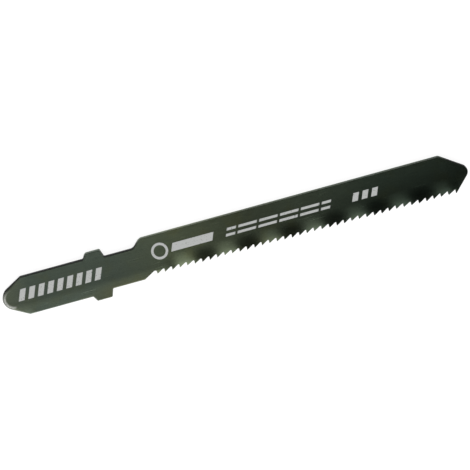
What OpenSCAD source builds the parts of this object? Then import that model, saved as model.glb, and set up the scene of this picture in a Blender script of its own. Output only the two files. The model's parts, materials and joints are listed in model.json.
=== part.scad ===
// T-shank jigsaw blade for metal, lying flat: X runs along it to the nose,
// -Y is the toothed edge, +Y the spine, and Z goes up through the strip.
// Places along the blade are measured from the shank's end.

/* [Strip] */
// Whole length, from the shank's end to the nose
blade_len = 76; // [64:1:132]
// Thickness of the steel strip
strip_thk = 1.0; // [0.8:0.05:1.3]

/* [Shank] */
// Width of the shank
shank_w = 6.2; // [5.8:0.1:6.8]
// Length of the pointed lead-in at the shank's end
lead_len = 3.6; // [3:0.1:4.2]
// Slope of the lead-in, measured from the axis
lead_angle = 29; // [22:1:30]
// Radius of the corner between the lead-in and the shank's edge
lead_corner_r = 0.3; // [0.1:0.1:0.6]
// Radius of the shank's blunt end
end_r = 1.8; // [1:0.1:1.8]

/* [Lugs] */
// Width across the two lugs, whose upper one is flush with the spine
lug_w = 7.9; // [7.2:0.1:8.8]
// Where the lugs start, at their root
lug_start = 13.9; // [12:0.1:15]
// Length of each lug at its root
lug_len = 3.35; // [2.9:0.05:4]
// How far a lug's heel, towards the shank's end, leans over
lug_heel_lean = 0.5; // [0.2:0.05:0.7]
// How far a lug's toe, towards the teeth, leans over
lug_toe_lean = 0.42; // [0.1:0.02:0.7]
// Radius of the lugs' corners
lug_r = 0.22; // [0.1:0.02:0.3]
// Radius of the upper lug's heel, which is the rounder corner
lug_heel_r = 0.6; // [0.2:0.05:0.7]
// Radius in the corner at a lug's root
lug_root_r = 0.25; // [0.1:0.05:0.3]

/* [Neck] */
// Width of the neck between the lugs and the toothed part
neck_w = 5.3; // [4.8:0.1:5.7]
// Where the neck's upper edge starts to climb to the spine
neck_end = 21.95; // [20:0.05:22.5]
// Slope of that climb
shoulder_angle = 45; // [35:1:60]
// Radius at the foot and at the head of the climb
shoulder_r = 1.0; // [0.3:0.1:1.2]
// How far the run-out before the first tooth reaches back from its tip
runout_len = 2.15; // [1.9:0.05:2.6]
// Radius of the run-out where it meets the first tooth
runout_r = 0.35; // [0.2:0.05:0.4]

/* [Nose] */
// Radius of the nose
nose_r = 1.15; // [0.8:0.05:1.4]
// Height of the nose's centre above the axis
nose_y = 0.6; // [0.3:0.05:1]
// Slope of the long bevel from the spine down to the nose
spine_bevel = 35; // [28:1:50]
// Slope of the short bevel from the nose to the last tooth
tooth_bevel = 46; // [38:1:60]
// Radius where the spine meets its bevel
spine_corner_r = 0.5; // [0.2:0.1:1.5]

/* [Teeth] */
// Distance from tooth to tooth
tooth_pitch = 1.22; // [0.9:0.01:1.6]
// Depth of the gullets behind the tips
tooth_depth = 0.55; // [0.35:0.05:0.65]
// Where the first tip stands
first_tip = 24.62; // [24.3:0.02:26]
// Distance of the first tip below the axis
tip_drop = 2.25; // [2.05:0.05:2.5]
// Slope of the row of tips, which makes the blade wider towards the nose
row_angle = 0.25; // [0:0.05:0.4]
// Slope of a tooth's front face back from its tip
rake_angle = 3; // [0:1:8]
// Radius at the bottom of a gullet
gullet_r = 0.17; // [0.1:0.01:0.2]
// Flat left on a tooth's tip
tip_land = 0.05; // [0.03:0.01:0.1]

/* [Wave set] */
// Length of one wave of the toothed edge
wave_len = 7.05; // [5:0.05:10]
// How far a crest stands out to either side of the strip
wave_set = 0.25; // [0.1:0.05:0.35]
// Where the first full crest on the upper side stands
first_crest = 32.45; // [30:0.05:36]
// Height of the wavy band, from the first tip up to the flat of the blade
band_h = 2.6; // [2:0.1:3.2]
// Where the wave starts
wave_start = 25.5; // [23:0.5:26]
// Length over which the wave grows to its full height
wave_growth = 3; // [2:0.1:6]
// Length over which the wave dies away at the nose
wave_decay = 2.4; // [1.5:0.1:4]

/* [Hidden] */

// Dark oxide on the steel
steel_colour = [0.19, 0.21, 0.17];
// Straight pieces in a quarter turn of a rounded corner
corner_steps = 6;
// Straight pieces in one wave, and in the height of the band
wave_steps = 12;
band_rows = 6;
// How far a cutter runs past what it cuts
margin = 0.6;

half_len = blade_len / 2;
spine_y = lug_w / 2;
shank_y = shank_w / 2;
neck_y = neck_w / 2;
mid_z = wave_set + strip_thk / 2;

// The shank's blunt end: what the lead-in slopes leave flat, and the radius that fits it
end_y = shank_y - lead_len * tan(lead_angle);
end_round = min(end_r, 0.98 * end_y / tan((90 - lead_angle) / 2));

// The row of tips as a straight line
function tip_y(along) = -tip_drop - (along - first_tip) * tan(row_angle);

// The nose's circle, where the spine starts to fall, and where the short bevel meets the row
nose_at = blade_len - nose_r;
spine_corner = nose_at + nose_r * sin(spine_bevel)
    - (spine_y - nose_y - nose_r * cos(spine_bevel)) / tan(spine_bevel);
bevel_at = nose_at + nose_r * sin(tooth_bevel);
bevel_y = nose_y - nose_r * cos(tooth_bevel);
row_corner = (bevel_at * tan(tooth_bevel) - bevel_y - tip_drop + first_tip * tan(row_angle))
    / (tan(tooth_bevel) + tan(row_angle));
// The point where the two bevels would meet without the nose's radius
point_at = (spine_y - bevel_y + spine_corner * tan(spine_bevel) + bevel_at * tan(tooth_bevel))
    / (tan(spine_bevel) + tan(tooth_bevel));
point_y = spine_y - (point_at - spine_corner) * tan(spine_bevel);

teeth = floor((row_corner - first_tip) / tooth_pitch) + 1;

// The rectangle of the strip that the wave and the teeth take up
band_start = first_tip - runout_len - margin;
band_end = row_corner + margin;
band_top = band_h - tip_drop;
band_low = tip_y(band_end);

function ease(share) = let (s = max(0, min(1, share))) s * s * (3 - 2 * s);
function wave_height(along, y) =
    let (reach = max(0, min(1, (band_top - y) / band_h)))
    wave_set * reach * reach * cos(360 * (along - first_crest) / wave_len)
    * ease((along - wave_start) / wave_growth) * ease((band_end - along) / wave_decay);

// A corner is [x, y, radius]: the points of the arc that touches both of its edges
function arc_at(before, corner, after) =
    let (
        here = [corner.x, corner.y],
        back = [before.x, before.y] - here,
        ahead = [after.x, after.y] - here,
        a = back / norm(back),
        b = ahead / norm(ahead),
        half = acos(a * b) / 2,
        middle = (a + b) / norm(a + b),
        centre = here + middle * corner.z / sin(half),
        turn = (180 - 2 * half) * sign(a.x * b.y - a.y * b.x),
        facing = atan2(-middle.y, -middle.x),
        steps = max(2, ceil(corner_steps * abs(turn) / 90))
    )
    [for (i = [0:steps])
        let (angle = facing + turn * (0.5 - i / steps))
        centre + corner.z * [cos(angle), sin(angle)]];

// The points of an outline whose corners are rounded where they have a radius
function rounded(corners) =
    let (count = len(corners))
    [for (i = [0:count - 1])
        let (corner = corners[i])
        each corner.z == 0
            ? [[corner.x, corner.y]]
            : arc_at(corners[(i + count - 1) % count], corner, corners[(i + 1) % count])];

// The strip as it is stamped, before its teeth are milled
blank = [
    [0, -end_y, end_round],
    [lead_len, -shank_y, lead_corner_r],
    [lug_start, -shank_y, lug_root_r],
    [lug_start + lug_heel_lean, -spine_y, lug_r],
    [lug_start + lug_len - lug_toe_lean, -spine_y, lug_r],
    [lug_start + lug_len, -neck_y, lug_root_r],
    [first_tip - runout_r, -neck_y, 0],
    [first_tip - runout_r, tip_y(first_tip - runout_r), 0],
    [row_corner, tip_y(row_corner), 0],
    [point_at, point_y, nose_r],
    [spine_corner, spine_y, spine_corner_r],
    [neck_end + (spine_y - neck_y) / tan(shoulder_angle), spine_y, shoulder_r],
    [neck_end, neck_y, shoulder_r],
    [lug_start + lug_len, neck_y, lug_root_r],
    [lug_start + lug_len - lug_toe_lean, spine_y, lug_r],
    [lug_start + lug_heel_lean, spine_y, lug_heel_r],
    [lug_start, shank_y, lug_root_r],
    [lead_len, shank_y, lead_corner_r],
    [0, end_y, end_round],
];

// What a tooth's gullet takes away. Its origin is the tip behind it: through the point [back, low]
// a straight slope climbs to a round bottom, and the tooth's front face comes down from there
// through the tip. Both run on past the edge that they cut.
function gullet(back, low, radius) =
    let (
        centre = [(-radius + (tooth_depth - radius) * sin(rake_angle)) / cos(rake_angle),
            tooth_depth - radius],
        reach = centre - [back, low],
        slope = atan2(reach.y, reach.x) + asin(radius / norm(reach)),
        from = slope + 90,
        to = -rake_angle,
        steps = ceil(corner_steps * (from - to) / 90)
    )
    [[back - margin / tan(slope), low - margin],
        for (i = [0:steps])
            let (angle = from + (to - from) * i / steps)
            centre + radius * [cos(angle), sin(angle)],
        [(low - margin) * tan(rake_angle), low - margin]];

// Extends a flat shape past both faces of the strip and its waves
module through() {
    translate([0, 0, -margin])
        linear_extrude(2 * (mid_z + margin)) children();
}

// The strip before it is stamped, already bent into waves along its toothed edge:
// a grid of points on each of its two faces, with one cell over each stretch that stays flat
module wavy_sheet() {
    places = concat(
        [-margin, band_start],
        [for (i = [ceil((band_start - first_crest) / wave_len * wave_steps + 0.01)
                : floor((band_end - first_crest) / wave_len * wave_steps - 0.01)])
            first_crest + i * wave_len / wave_steps],
        [band_end, blade_len + margin]);
    heights = concat(
        [spine_y + margin],
        [for (i = [0:band_rows]) band_top + (band_low - band_top) * i / band_rows],
        [-spine_y - margin]);
    columns = len(places);
    rows = len(heights);
    face_points = columns * rows;
    function grid(half_thk) =
        [for (along = places, y = heights) [along, y, mid_z + half_thk + wave_height(along, y)]];
    // Where a point lies in the list, on the upper face (0) or the lower one (1)
    function point(column, row, face) = face * face_points + column * rows + row;
    upper = [for (c = [0:columns - 2], r = [0:rows - 2])
        each [[point(c, r, 0), point(c + 1, r, 0), point(c + 1, r + 1, 0)],
            [point(c, r, 0), point(c + 1, r + 1, 0), point(c, r + 1, 0)]]];
    lower = [for (triangle = upper)
        [triangle[2] + face_points, triangle[1] + face_points, triangle[0] + face_points]];
    long_edges = [for (c = [0:columns - 2])
        each [[point(c + 1, 0, 0), point(c, 0, 0), point(c, 0, 1), point(c + 1, 0, 1)],
            [point(c, rows - 1, 0), point(c + 1, rows - 1, 0),
                point(c + 1, rows - 1, 1), point(c, rows - 1, 1)]]];
    short_edges = [for (r = [0:rows - 2])
        each [[point(0, r, 0), point(0, r + 1, 0), point(0, r + 1, 1), point(0, r, 1)],
            [point(columns - 1, r + 1, 0), point(columns - 1, r, 0),
                point(columns - 1, r, 1), point(columns - 1, r + 1, 1)]]];
    polyhedron(concat(grid(strip_thk / 2), grid(-strip_thk / 2)),
        concat(upper, lower, long_edges, short_edges));
}

// The blade: the sheet within the stamped outline, less the gullets of its teeth
module blade() {
    color(steel_colour)
        translate([-half_len, 0, 0])
        difference() {
            intersection() {
                wavy_sheet();
                through() polygon(rounded(blank));
            }
            translate([first_tip, tip_y(first_tip), 0])
                through() polygon(gullet(-runout_len, tip_drop - neck_y, runout_r));
            for (i = [1:teeth - 1])
                let (tip = first_tip + i * tooth_pitch)
                translate([tip, tip_y(tip), 0])
                    through() polygon(gullet(tip_land - tooth_pitch, 0, gullet_r));
        }
}

blade();
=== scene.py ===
# A jigsaw blade with a T-shank, lying flat on a white table.
# X runs along it to the nose, -Y is the toothed edge, +Y the spine, and Z goes up through the strip.
# Sizes are in millimetres until they reach Blender. Places along the outline start at the shank's end,
# and those in the materials at the middle of the blade.
import json
import math
import bpy
from mathutils import Matrix, Vector

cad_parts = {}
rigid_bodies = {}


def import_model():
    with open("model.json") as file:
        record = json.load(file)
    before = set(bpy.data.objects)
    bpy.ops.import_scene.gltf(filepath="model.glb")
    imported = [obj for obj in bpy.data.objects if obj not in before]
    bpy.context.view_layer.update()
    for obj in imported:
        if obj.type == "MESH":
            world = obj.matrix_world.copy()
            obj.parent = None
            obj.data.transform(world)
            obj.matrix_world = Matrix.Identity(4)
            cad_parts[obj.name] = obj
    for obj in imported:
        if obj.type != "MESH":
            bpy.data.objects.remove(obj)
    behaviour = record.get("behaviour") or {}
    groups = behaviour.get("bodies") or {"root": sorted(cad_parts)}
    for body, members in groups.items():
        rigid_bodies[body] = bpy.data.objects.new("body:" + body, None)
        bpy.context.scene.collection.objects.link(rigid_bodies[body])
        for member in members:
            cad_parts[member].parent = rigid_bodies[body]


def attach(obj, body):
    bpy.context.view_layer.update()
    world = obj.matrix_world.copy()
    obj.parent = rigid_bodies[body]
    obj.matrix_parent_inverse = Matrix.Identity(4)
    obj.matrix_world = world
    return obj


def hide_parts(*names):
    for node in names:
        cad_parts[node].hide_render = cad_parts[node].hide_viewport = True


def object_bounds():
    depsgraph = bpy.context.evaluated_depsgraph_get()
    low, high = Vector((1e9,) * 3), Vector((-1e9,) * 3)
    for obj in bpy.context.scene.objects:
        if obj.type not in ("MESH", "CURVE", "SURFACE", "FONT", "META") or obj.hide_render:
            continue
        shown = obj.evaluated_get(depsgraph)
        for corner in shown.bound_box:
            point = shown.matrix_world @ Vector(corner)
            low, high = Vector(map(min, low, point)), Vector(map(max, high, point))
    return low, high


for leftover in list(bpy.data.objects):
    bpy.data.objects.remove(leftover)

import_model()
cad_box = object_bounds()

MM = 0.001
# Room for rounding where places are compared
NEAR = 0.02

# Strip
BLADE_LEN = 76.0
STRIP_THK = 1.0
HALF_LEN = BLADE_LEN / 2

# Shank, lugs and neck
SHANK_W = 6.2
LEAD_LEN = 3.6
LEAD_ANGLE = math.radians(29)
LEAD_CORNER_R = 0.3
END_R = 1.8
# The most of the blunt end that its two rounds may take
END_SHARE = 0.98
LUG_W = 7.9
LUG_START = 13.9
LUG_LEN = 3.35
LUG_HEEL_LEAN = 0.5
LUG_TOE_LEAN = 0.42
LUG_R = 0.22
LUG_HEEL_R = 0.6
LUG_ROOT_R = 0.25
NECK_W = 5.3
NECK_END = 21.95
SHOULDER_ANGLE = math.radians(45)
SHOULDER_R = 1.0
RUNOUT_LEN = 2.15
RUNOUT_R = 0.35

# Nose
NOSE_R = 1.15
NOSE_Y = 0.6
SPINE_BEVEL = math.radians(35)
TOOTH_BEVEL = math.radians(46)
SPINE_CORNER_R = 0.5

# Teeth
TOOTH_PITCH = 1.22
TOOTH_DEPTH = 0.55
FIRST_TIP = 24.62
TIP_DROP = 2.25
ROW_ANGLE = math.radians(0.25)
RAKE_ANGLE = math.radians(3)
GULLET_R = 0.17
TIP_LAND = 0.05
# The teeth and their run-out lie further out than this
TEETH_BELOW = -1.5

# Wave set
WAVE_LEN = 7.05
WAVE_SET = 0.25
FIRST_CREST = 32.45
BAND_H = 2.6
WAVE_START = 25.5
WAVE_GROWTH = 3.0
WAVE_DECAY = 2.4
# How far the wave runs past the last tooth
WAVE_OVERRUN = 0.6

# How far the edges are rolled over: at the teeth, underneath, on top, and on top round the shank's end
ROLL_TEETH = 0.012
ROLL_BELOW = 0.05
ROLL_ABOVE = 0.16
ROLL_END = 0.3

# Straight pieces in a quarter turn and in one wave, and rows in the height of the wave's band
CORNER_STEPS = 12
WAVE_STEPS = 24
BAND_ROWS = 9

SPINE_Y = LUG_W / 2
SHANK_Y = SHANK_W / 2
NECK_Y = NECK_W / 2
MID_Z = WAVE_SET + STRIP_THK / 2


def tip_y(along):
    """The row of tips as a straight line."""
    return -TIP_DROP - (along - FIRST_TIP) * math.tan(ROW_ANGLE)


def nose_lines():
    """Where the spine starts to fall, where the two bevels would meet, and where the row of teeth ends."""
    nose_at = BLADE_LEN - NOSE_R
    drop = SPINE_Y - NOSE_Y - NOSE_R * math.cos(SPINE_BEVEL)
    spine_corner = nose_at + NOSE_R * math.sin(SPINE_BEVEL) - drop / math.tan(SPINE_BEVEL)
    bevel_at = nose_at + NOSE_R * math.sin(TOOTH_BEVEL)
    bevel_y = NOSE_Y - NOSE_R * math.cos(TOOTH_BEVEL)
    slopes = math.tan(TOOTH_BEVEL) + math.tan(ROW_ANGLE)
    height = bevel_at * math.tan(TOOTH_BEVEL) - bevel_y - TIP_DROP + FIRST_TIP * math.tan(ROW_ANGLE)
    row_corner = height / slopes
    reach = SPINE_Y - bevel_y + spine_corner * math.tan(SPINE_BEVEL) + bevel_at * math.tan(TOOTH_BEVEL)
    point_at = reach / (math.tan(SPINE_BEVEL) + math.tan(TOOTH_BEVEL))
    point_y = SPINE_Y - (point_at - spine_corner) * math.tan(SPINE_BEVEL)
    return spine_corner, (point_at, point_y), row_corner


SPINE_CORNER, NOSE_POINT, ROW_CORNER = nose_lines()
BAND_END = ROW_CORNER + WAVE_OVERRUN
BAND_TOP = BAND_H - TIP_DROP
END_Y = SHANK_Y - LEAD_LEN * math.tan(LEAD_ANGLE)
END_ROUND = min(END_R, END_SHARE * END_Y / math.tan((math.pi / 2 - LEAD_ANGLE) / 2))
TEETH = int((ROW_CORNER - FIRST_TIP) / TOOTH_PITCH) + 1
# Places on the lead-in where the width of the rolled edge changes
LEAD_IN = [1.2 + 0.2 * i for i in range(10)]


def ease(share):
    """An even curve from 0 to 1."""
    share = max(0.0, min(1.0, share))
    return share * share * (3 - 2 * share)


def wave_height(along, y):
    """How far the wave set lifts a place on the strip, in shares of its full height."""
    reach = max(0.0, min(1.0, (BAND_TOP - y) / BAND_H))
    swing = math.cos(2 * math.pi * (along - FIRST_CREST) / WAVE_LEN)
    grown = ease((along - WAVE_START) / WAVE_GROWTH) * ease((BAND_END - along) / WAVE_DECAY)
    return reach * reach * swing * grown


def gullet_corner(back, low, radius):
    """Where a gullet's slope and the next tooth's front face would meet without the round bottom."""
    centre_x = (-radius + (TOOTH_DEPTH - radius) * math.sin(RAKE_ANGLE)) / math.cos(RAKE_ANGLE)
    reach_x = centre_x - back
    reach_y = TOOTH_DEPTH - radius - low
    slope = math.atan2(reach_y, reach_x) + math.asin(radius / math.hypot(reach_x, reach_y))
    rise = math.tan(slope)
    height = (low - back * rise) / (1 - math.tan(RAKE_ANGLE) * rise)
    return height * math.tan(RAKE_ANGLE), height


def lead_in(side):
    """Places on the straight lead-in, where the rolled edge narrows from one to the next."""
    return [(along, side * (END_Y + along * math.tan(LEAD_ANGLE)), 0) for along in LEAD_IN]


def outline():
    """The stamped and toothed outline as corners: along, across and the radius that rounds each."""
    corners = [
        (0, -END_Y, END_ROUND),
        *lead_in(-1),
        (LEAD_LEN, -SHANK_Y, LEAD_CORNER_R),
        (LUG_START, -SHANK_Y, LUG_ROOT_R),
        (LUG_START + LUG_HEEL_LEAN, -SPINE_Y, LUG_R),
        (LUG_START + LUG_LEN - LUG_TOE_LEAN, -SPINE_Y, LUG_R),
        (LUG_START + LUG_LEN, -NECK_Y, LUG_ROOT_R),
        (FIRST_TIP - RUNOUT_LEN, -NECK_Y, 0),
    ]
    bottom_x, bottom_y = gullet_corner(-RUNOUT_LEN, TIP_DROP - NECK_Y, RUNOUT_R)
    corners.append((FIRST_TIP + bottom_x, -TIP_DROP + bottom_y, RUNOUT_R))
    corners.append((FIRST_TIP, -TIP_DROP, 0))
    bottom_x, bottom_y = gullet_corner(TIP_LAND - TOOTH_PITCH, 0, GULLET_R)
    for tooth in range(1, TEETH):
        behind = FIRST_TIP + (tooth - 1) * TOOTH_PITCH
        tip = behind + TOOTH_PITCH
        corners.append((behind + TIP_LAND, tip_y(behind + TIP_LAND), 0))
        corners.append((tip + bottom_x, tip_y(tip) + bottom_y, GULLET_R))
        corners.append((tip, tip_y(tip), 0))
    corners += [
        (ROW_CORNER, tip_y(ROW_CORNER), 0),
        (NOSE_POINT[0], NOSE_POINT[1], NOSE_R),
        (SPINE_CORNER, SPINE_Y, SPINE_CORNER_R),
        (NECK_END + (SPINE_Y - NECK_Y) / math.tan(SHOULDER_ANGLE), SPINE_Y, SHOULDER_R),
        (NECK_END, NECK_Y, SHOULDER_R),
        (LUG_START + LUG_LEN, NECK_Y, LUG_ROOT_R),
        (LUG_START + LUG_LEN - LUG_TOE_LEAN, SPINE_Y, LUG_R),
        (LUG_START + LUG_HEEL_LEAN, SPINE_Y, LUG_HEEL_R),
        (LUG_START, SHANK_Y, LUG_ROOT_R),
        (LEAD_LEN, SHANK_Y, LEAD_CORNER_R),
        *reversed(lead_in(1)),
        (0, END_Y, END_ROUND),
    ]
    return corners


def clear_selection():
    if bpy.context.object and bpy.context.object.mode != "OBJECT":
        bpy.ops.object.mode_set(mode="OBJECT")
    bpy.ops.object.select_all(action="DESELECT")


def edit():
    bpy.ops.object.mode_set(mode="EDIT")


def leave():
    bpy.ops.object.mode_set(mode="OBJECT")


def pick_points(piece, test):
    """Opens the piece in edit mode with only those of its points selected that pass the test."""
    leave()
    mesh = piece.data
    for part in (*mesh.polygons, *mesh.edges):
        part.select = False
    for vertex in mesh.vertices:
        vertex.select = test(vertex.co / MM)
    bpy.context.tool_settings.mesh_select_mode = (True, False, False)
    edit()


def trace(corners, z):
    """Draws an outline point after point, by extruding from the last, and fills it."""
    clear_selection()
    bpy.ops.mesh.primitive_plane_add(size=MM, location=(0, 0, 0))
    piece = bpy.context.object
    edit()
    bpy.ops.mesh.select_all(action="SELECT")
    bpy.ops.mesh.merge(type="CENTER")
    first = Vector((corners[0][0] - HALF_LEN, corners[0][1], z))
    bpy.ops.transform.translate(value=first * MM)
    here = first
    for along, across, _ in corners[1:]:
        there = Vector((along - HALF_LEN, across, z))
        bpy.ops.mesh.extrude_region_move(TRANSFORM_OT_translate={"value": (there - here) * MM})
        here = there
    bpy.ops.mesh.select_all(action="SELECT")
    bpy.ops.mesh.edge_face_add()
    leave()
    return piece


def round_corners(piece, corners):
    """Rounds the outline's corners, all of one radius and one angle at a time."""
    count = len(corners)
    groups = {}
    for i, (along, across, radius) in enumerate(corners):
        if radius == 0:
            continue
        here = Vector((along, across))
        back = (Vector(corners[i - 1][:2]) - here).normalized()
        ahead = (Vector(corners[(i + 1) % count][:2]) - here).normalized()
        half = math.acos(max(-1, min(1, back.dot(ahead)))) / 2
        steps = max(3, math.ceil(CORNER_STEPS * (math.pi - 2 * half) / (math.pi / 2)))
        key = (round(radius / math.tan(half), 3), steps)
        groups.setdefault(key, []).append((along - HALF_LEN, across))
    for (reach, steps), places in groups.items():
        pick_points(piece, lambda co: any(math.hypot(co.x - x, co.y - y) < NEAR / 2 for x, y in places))
        bpy.ops.mesh.bevel(offset=reach * MM, segments=steps, affect="VERTICES", profile=0.5,
                           clamp_overlap=False)
    leave()


def on_teeth(co):
    """Whether a place on the outline belongs to the teeth or their run-out."""
    along = co.x + HALF_LEN
    return co.y < TEETH_BELOW and FIRST_TIP - RUNOUT_LEN - NEAR < along < ROW_CORNER + NEAR


def roll_width(a, b):
    """How far an edge is rolled over: widest round the shank's end, next to nothing on the teeth."""
    if abs(a.z - b.z) > NEAR / 2:
        return 0
    if on_teeth(a) and on_teeth(b):
        return ROLL_TEETH
    if a.z < MID_Z:
        return ROLL_BELOW
    middle = (a.x + b.x) / 2 + HALF_LEN
    towards_end = ease((LEAD_IN[-1] - middle) / (LEAD_IN[-1] - LEAD_IN[0]))
    return ROLL_ABOVE + (ROLL_END - ROLL_ABOVE) * towards_end


def roll_edges(blade):
    """Breaks the strip's edges, each by its own width."""
    mesh = blade.data
    weights = mesh.attributes.new("bevel_weight_edge", "FLOAT", "EDGE")
    for edge in mesh.edges:
        ends = [mesh.vertices[i].co / MM for i in edge.vertices]
        weights.data[edge.index].value = roll_width(*ends) / ROLL_END
    roll = blade.modifiers.new("roll", "BEVEL")
    roll.limit_method = "WEIGHT"
    roll.width = ROLL_END * MM
    roll.segments = 3
    roll.use_clamp_overlap = False
    bpy.ops.object.modifier_apply(modifier="roll")


def build_blade():
    """The blade: traced, thickened, its stamped edges rolled over, cut into a grid and set in waves."""
    corners = outline()
    blade = trace(corners, MID_Z - STRIP_THK / 2)
    blade.name = "blade_strip"
    round_corners(blade, corners)
    edit()
    bpy.ops.mesh.select_all(action="SELECT")
    bpy.ops.mesh.extrude_region_move(TRANSFORM_OT_translate={"value": (0, 0, STRIP_THK * MM)})
    bpy.ops.mesh.select_all(action="SELECT")
    bpy.ops.mesh.normals_make_consistent(inside=False)
    leave()
    roll_edges(blade)
    cut_grid(blade)
    set_waves(blade)
    finish_faces(blade)
    return blade


def cut_grid(blade):
    """Cuts the toothed part into columns and rows, so that it can be bent."""
    edit()
    step = WAVE_LEN / WAVE_STEPS
    columns = int((BAND_END - WAVE_START) / step)
    cuts = [((WAVE_START + i * step - HALF_LEN, 0, 0), (1, 0, 0)) for i in range(columns + 1)]
    cuts += [((0, BAND_TOP - BAND_H * i / BAND_ROWS, 0), (0, 1, 0)) for i in range(BAND_ROWS + 1)]
    for place, facing in cuts:
        bpy.ops.mesh.select_all(action="SELECT")
        bpy.ops.mesh.bisect(plane_co=Vector(place) * MM, plane_no=facing, threshold=1e-8)
    leave()


def set_waves(blade):
    """Bends the toothed edge up at the crests and down between them."""
    for name, side in (("crests", 1), ("troughs", -1)):
        group = blade.vertex_groups.new(name=name)
        for vertex in blade.data.vertices:
            share = side * wave_height(vertex.co.x / MM + HALF_LEN, vertex.co.y / MM)
            if share > 0:
                group.add([vertex.index], share, "REPLACE")
    for name, side in (("crests", 1), ("troughs", -1)):
        bend = blade.modifiers.new(name, "DISPLACE")
        bend.direction = "Z"
        bend.mid_level = 0
        bend.strength = side * WAVE_SET * MM
        bend.vertex_group = name
    for name in ("crests", "troughs"):
        bpy.ops.object.modifier_apply(modifier=name)
    blade.vertex_groups.clear()


def finish_faces(piece):
    """Smooths the rolled edges and the waves, and lets the wide faces keep their flatness."""
    bpy.ops.object.shade_smooth_by_angle(angle=math.radians(32))
    flat = piece.modifiers.new("flat", "WEIGHTED_NORMAL")
    flat.keep_sharp = True
    bpy.ops.object.modifier_apply(modifier="flat")


class Signal:
    """One socket of a shader. Python's operators on it add Math nodes."""

    def __init__(self, tree, socket):
        self.tree = tree
        self.socket = socket

    def join(self, operation, *values):
        node = self.tree.nodes.new("ShaderNodeMath")
        node.operation = operation
        for slot, value in zip(node.inputs, values):
            if isinstance(value, Signal):
                self.tree.links.new(value.socket, slot)
            else:
                slot.default_value = value
        return Signal(self.tree, node.outputs[0])

    def __add__(self, other):
        return self.join("ADD", self, other)

    def __radd__(self, other):
        return self.join("ADD", other, self)

    def __sub__(self, other):
        return self.join("SUBTRACT", self, other)

    def __rsub__(self, other):
        return self.join("SUBTRACT", other, self)

    def __mul__(self, other):
        return self.join("MULTIPLY", self, other)

    def __rmul__(self, other):
        return self.join("MULTIPLY", other, self)

    def __truediv__(self, other):
        return self.join("DIVIDE", self, other)

    def __abs__(self):
        return self.join("ABSOLUTE", self)


class Shader:
    """The nodes of a material or of the room's light, built up one by one."""

    def __init__(self, owner):
        self.owner = owner
        owner.use_nodes = True
        self.tree = owner.node_tree
        self.tree.nodes.clear()

    def node(self, kind, settings=None, values=None, output=0):
        """Adds a node: its settings first, then the values or links of its sockets."""
        node = self.tree.nodes.new(kind)
        for name, value in (settings or {}).items():
            if name == "stops":
                self.set_stops(node.color_ramp, value)
            else:
                setattr(node, name, value)
        for name, value in (values or {}).items():
            if isinstance(value, Signal):
                self.tree.links.new(value.socket, node.inputs[name])
            else:
                node.inputs[name].default_value = value
        return Signal(self.tree, node.outputs[output])

    def set_stops(self, ramp, stops):
        while len(ramp.elements) > 1:
            ramp.elements.remove(ramp.elements[0])
        ramp.elements[0].position = stops[0][0]
        ramp.elements[0].color = stops[0][1]
        for place, colour in stops[1:]:
            ramp.elements.new(place).color = colour

    def places(self):
        """Object coordinates in millimetres, whole and as X, Y and Z."""
        coords = self.node("ShaderNodeTexCoord", output="Object")
        whole = self.node("ShaderNodeMapping", {"vector_type": "POINT"},
                          {"Vector": coords, "Scale": (1 / MM, 1 / MM, 1 / MM)})
        return whole, [self.node("ShaderNodeSeparateXYZ", None, {"Vector": whole}, i) for i in range(3)]

    def stretched(self, whole, scale):
        return self.node("ShaderNodeMapping", {"vector_type": "POINT"}, {"Vector": whole, "Scale": scale})

    def noise(self, vector, scale, detail=3.0, roughness=0.5):
        return self.node("ShaderNodeTexNoise", None, {
            "Vector": vector, "Scale": scale, "Detail": detail, "Roughness": roughness})

    def step(self, value, low, high):
        """0 at low, 1 at high and an even curve between."""
        return self.node("ShaderNodeMapRange", {"interpolation_type": "SMOOTHSTEP"}, {
            "Value": value, "From Min": low, "From Max": high})

    def blend(self, mask, first, second):
        return self.node("ShaderNodeMix", {"data_type": "RGBA"}, {0: mask, 6: first, 7: second}, 2)

    def tint(self, colour, factor):
        """A colour made lighter or darker by a factor, or by one factor for each of red, green and blue."""
        if isinstance(factor, tuple):
            return self.node("ShaderNodeVectorMath", {"operation": "MULTIPLY"}, {0: colour, 1: factor})
        return self.node("ShaderNodeVectorMath", {"operation": "SCALE"}, {0: colour, "Scale": factor})

    def row(self, value, low, high):
        """1 between two places and 0 beyond them, with edges as soft as ink has."""
        return self.step(value, low - 0.03, low + 0.03) * self.step(value, high + 0.03, high - 0.03)

    def close(self, kind, surface):
        end = self.tree.nodes.new(kind)
        self.tree.links.new(surface.socket, end.inputs["Surface"])
        return self.owner


def colour(red, green, blue):
    return (red, green, blue, 1.0)


HEAT_BROWN = colour(0.075, 0.080, 0.042)
WORN_EDGE = colour(0.22, 0.22, 0.21)
END_HIGHLIGHT_GREY = colour(0.42, 0.43, 0.40)
PALE_INK = colour(0.43, 0.44, 0.43)


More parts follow.
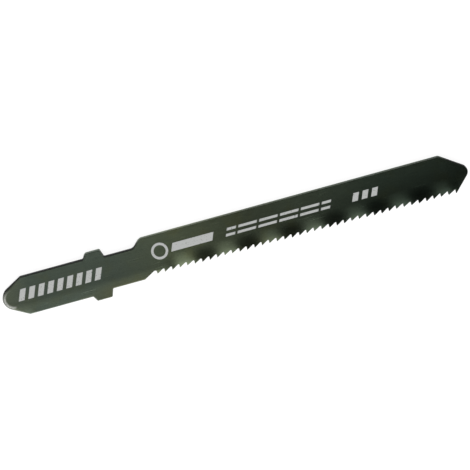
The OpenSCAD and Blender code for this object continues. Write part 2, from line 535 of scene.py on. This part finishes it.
def oxide_and_fade_shade(steel, whole, along, across):
    """The oxide's colour: mottled grey-green and brown by the lower lug. Its darkening towards the nose is
    partly oxide tone and partly painted shade, for the light falling off along the blade.
    """
    tone = steel.node("ShaderNodeValToRGB", {"stops": [
        (0.0, colour(0.080, 0.092, 0.064)),
        (0.06, colour(0.054, 0.069, 0.054)),
        (0.24, colour(0.056, 0.071, 0.055)),
        (0.38, colour(0.068, 0.082, 0.051)),
        (0.53, colour(0.041, 0.050, 0.033)),
        (0.66, colour(0.041, 0.052, 0.036)),
        (0.80, colour(0.029, 0.040, 0.029)),
        (1.0, colour(0.019, 0.027, 0.020)),
    ]}, {"Fac": along / BLADE_LEN + 0.5})
    clouds = steel.noise(whole, 0.35, 3.0)
    shaded_film = steel.blend(steel.step(clouds, 0.48, 0.75) * 0.4, tone, steel.tint(tone, (1.15, 1.02, 0.72)))
    heat = steel.step(across, -0.8, -3.2) * steel.step(along, -26.0, -20.0) * steel.step(along, -12.0, -17.0)
    shaded_film = steel.blend(heat * 0.7, shaded_film, HEAT_BROWN)
    low_half = steel.step(across, 3.6, -0.8) * steel.step(along, -6.0, 28.0)
    near_tips = steel.step(across, -0.9, -2.1)
    # Painted highlight: the colour is made lighter round the lower lead corner of the shank.
    corner_highlight_at = (-34.6, -3.0, 1.2)
    corner = steel.node("ShaderNodeVectorMath", {"operation": "DISTANCE"},
                        {0: whole, 1: corner_highlight_at}, "Value")
    depth = (1.0 + across * 0.07) * (1.0 - low_half * 0.35)
    return steel.tint(shaded_film, depth + near_tips * 0.4 + steel.step(corner, 1.3, 0.2) * 0.5)


def ink_shapes(steel, whole, along, across):
    """Pale ink on the upper face: slanted stripes, a ring, a bar and a pair of broken lines."""
    slant = 0.4
    stripe_pitch = 1.55
    line_pitch = 3.4
    shank_stripes = (-35.65, -21.7)
    shank_row = (-0.65, 1.2)
    far_stripes = (18.6, 23.25)
    bar_ends = (-10.6, -3.9)
    line_ends = (-1.7, 15.3)
    body_row = (0.6, 1.9)
    upper_line = (1.5, 1.9)
    lower_line = (0.6, 1.0)
    ring_x = -12.1
    ring_y = 1.2
    ring_width = (0.95, 1.35)
    slanted = along - across * slant
    share = steel.node("ShaderNodeMath", {"operation": "FRACT"}, {0: slanted / stripe_pitch})
    stripes = steel.row(share, 0.2, 0.8)
    shank = stripes * steel.row(slanted, *shank_stripes) * steel.row(across, *shank_row)
    body = steel.row(across, *body_row)
    far = stripes * steel.row(slanted, *far_stripes) * body
    bar = steel.row(slanted, *bar_ends) * body
    part = steel.node("ShaderNodeMath", {"operation": "FRACT"}, {0: slanted / line_pitch})
    pair = steel.row(across, *upper_line) + steel.row(across, *lower_line)
    lines = pair * steel.row(part, 0.06, 0.94) * steel.row(slanted, *line_ends)
    out_x = along - ring_x
    out_y = across - ring_y
    away = steel.node("ShaderNodeMath", {"operation": "SQRT"}, {0: out_x * out_x + out_y * out_y})
    ring = steel.row(away, *ring_width)
    chips = steel.noise(whole, 5.0, 4.0, 0.7)
    return (shank + far + bar + lines + ring) * steel.step(chips, 0.30, 0.42)


def painted_end_highlight(steel, along, across):
    """A painted highlight: a pale line just inside the round of the shank's end, standing in for light on
    its rolled edge.
    """
    out = along + (HALF_LEN - END_ROUND)
    reach = steel.node("ShaderNodeMath", {"operation": "SQRT"}, {0: out * out + across * across})
    inner = steel.step(reach, END_ROUND - 0.62, END_ROUND - 0.36)
    outer = steel.step(reach, END_ROUND - 0.06, END_ROUND - 0.26)
    ends = steel.step(across, 1.6, 0.0) * steel.step(across, -2.2, -1.2)
    return inner * outer * steel.step(along, -36.0, -36.6) * ends


def oxidised_steel():
    """Dark oxide on ground strip, lighter on its rolled edges and spine, rough where cut. The cut walls are
    near-black as painted shade, and a pale line inside the round of the shank's end is a painted highlight.
    """
    steel = Shader(bpy.data.materials.new("oxidised_steel"))
    whole, (along, across, up) = steel.places()
    shaded_film = oxide_and_fade_shade(steel, whole, along, across)
    grain = steel.noise(steel.stretched(whole, (0.6, 14.0, 14.0)), 1.0, 3.0, 0.6)
    speckle = steel.noise(whole, 7.0, 2.0, 0.6)
    scratch = steel.step(steel.noise(steel.stretched(whole, (0.22, 7.0, 7.0)), 1.0, 1.0), 0.70, 0.80)
    shaded_film = steel.tint(shaded_film, 0.62 + grain * 0.36 + speckle * 0.40 + scratch * 0.5)
    normal = steel.node("ShaderNodeNewGeometry", output="Normal")
    lean = abs(steel.node("ShaderNodeSeparateXYZ", None, {"Vector": normal}, 2))
    to_spine = steel.node("ShaderNodeSeparateXYZ", None, {"Vector": normal}, 1)
    spine = steel.step(across, 3.3, 3.7)
    edge = steel.step(lean, 0.95, 0.80) * steel.step(lean, 0.15, 0.45)
    pale_edges = steel.blend(edge * steel.step(speckle, 0.35, 0.6) * 0.35, shaded_film, WORN_EDGE)
    on_top = steel.step(up, 1.0, 1.15)
    # Painted highlight on the shank's end: a pale, less metallic line inside its round.
    end_highlight_mask = painted_end_highlight(steel, along, across) * on_top * steel.step(speckle, 0.2, 0.5)
    pale_edges = steel.blend(end_highlight_mask * 0.85, pale_edges, END_HIGHLIGHT_GREY)
    # Painted shade: the cut walls get a near-black colour, for the dark line along the upper edges. The
    # spine's walls are made lighter, and walls facing the teeth keep most of the colour.
    sheared_and_shaded = steel.step(to_spine, 0.25, 0.5) * (1.0 - spine)
    milled = steel.step(to_spine, 0.0, -0.3)
    upright = steel.step(lean, 0.35, 0.15)
    wall = steel.node("ShaderNodeMath", {"operation": "MAXIMUM"}, {0: upright, 1: sheared_and_shaded})
    shear = steel.noise(steel.stretched(whole, (5.0, 5.0, 0.8)), 1.0, 3.0)
    skin = steel.blend(wall, pale_edges, steel.tint(shaded_film, 0.03 + shear * 0.10 + spine * 2.2 + milled * 0.8))
    ink = ink_shapes(steel, whole, along, across) * on_top
    skin = steel.blend(ink, skin, PALE_INK)
    rough = 0.24 + speckle * 0.05 + grain * 0.07 + wall * 0.5 - scratch * 0.05
    metal = (1.0 - ink) * (1.0 - wall * 0.8) * (1.0 - end_highlight_mask * 0.8)
    relief = grain * 0.7 + speckle * 0.3 - scratch * 0.4 + ink * 0.5
    bump = steel.node("ShaderNodeBump", None, {"Strength": 0.3, "Distance": 0.02 * MM, "Height": relief})
    surface = steel.node("ShaderNodeBsdfPrincipled", None, {
        "Base Color": skin, "Metallic": metal, "Roughness": rough + ink * 0.25, "Normal": bump})
    return steel.close("ShaderNodeOutputMaterial", surface)


def white_table():
    """Pale table that shows as white to the camera, with the blade's shadow on it."""
    table = Shader(bpy.data.materials.new("white_table"))
    camera_ray = table.node("ShaderNodeLightPath", output="Is Camera Ray")
    glossy_ray = table.node("ShaderNodeLightPath", output="Is Glossy Ray")
    through_ray = table.node("ShaderNodeLightPath", output="Is Transmission Ray")
    seen = camera_ray + glossy_ray + through_ray
    pale = table.node("ShaderNodeBsdfDiffuse", None, {"Color": colour(0.25, 0.25, 0.25)})
    glow = table.node("ShaderNodeEmission", None, {"Color": colour(1, 1, 1), "Strength": seen * 0.87})
    both = table.node("ShaderNodeAddShader", None, {0: pale, 1: glow})
    return table.close("ShaderNodeOutputMaterial", both)


def lay_table():
    clear_selection()
    bpy.ops.mesh.primitive_plane_add(size=3.0, location=(0, 0, cad_box[0].z))
    table = bpy.context.object
    table.name = "table_top"
    table.data.materials.append(white_table())


def hang_softbox(place, size, power):
    """A square softbox that faces the blade."""
    clear_selection()
    bpy.ops.object.light_add(type="AREA", location=place)
    box = bpy.context.object
    box.name = "softbox"
    box.data.shape = "SQUARE"
    box.data.size = size
    box.data.energy = power
    box.rotation_mode = "QUATERNION"
    box.rotation_quaternion = (-Vector(place)).to_track_quat("-Z", "Y")


def light_room():
    """Pale walls with a dim patch overhead, and one large softbox on the toothed side."""
    room = Shader(bpy.data.worlds.new("studio"))
    bpy.context.scene.world = room.owner
    facing = room.node("ShaderNodeTexCoord", output="Generated")
    height = room.node("ShaderNodeSeparateXYZ", None, {"Vector": facing}, 2)
    pale = colour(0.95, 0.95, 0.95)
    dim = colour(0.06, 0.06, 0.06)
    walls = room.blend(room.step(height, 0.68, 0.96), pale, dim)
    room.close("ShaderNodeOutputWorld", room.node("ShaderNodeBackground", None, {"Color": walls}))
    hang_softbox((-0.08, -0.296, 0.352), 0.43, 1.36)


def set_camera():
    """Looks down on the blade, a little from the spine's side, turned so that it climbs to the right."""
    tilt = math.radians(12.3)
    turn = math.radians(15.37)
    width = 74.06
    pixels = 470
    lens = 200.0
    sensor = 36.0
    along = Vector((1, 0, 0))
    across = Vector((0, math.cos(tilt), -math.sin(tilt)))
    back = Vector((0, math.sin(tilt), math.cos(tilt)))
    right = along * math.cos(turn) - across * math.sin(turn)
    above = along * math.sin(turn) + across * math.cos(turn)
    target = Vector((0, 0, MID_Z)) + (right * -0.6 + above * 2.15) * width / pixels
    camera = bpy.data.objects.new("camera", bpy.data.cameras.new("camera"))
    bpy.context.scene.collection.objects.link(camera)
    camera.data.sensor_width = sensor
    camera.data.lens = lens
    camera.data.clip_start = 0.01
    place = target + back * width * lens / sensor
    camera.matrix_world = Matrix.Translation(place * MM) @ Matrix((right, above, back)).transposed().to_4x4()
    bpy.context.scene.camera = camera


set_camera()
lay_table()
light_room()
blade = build_blade()
blade.data.materials.clear()
blade.data.materials.append(oxidised_steel())
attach(blade, "root")
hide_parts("blade")

bpy.context.scene.view_settings.view_transform = "Standard"
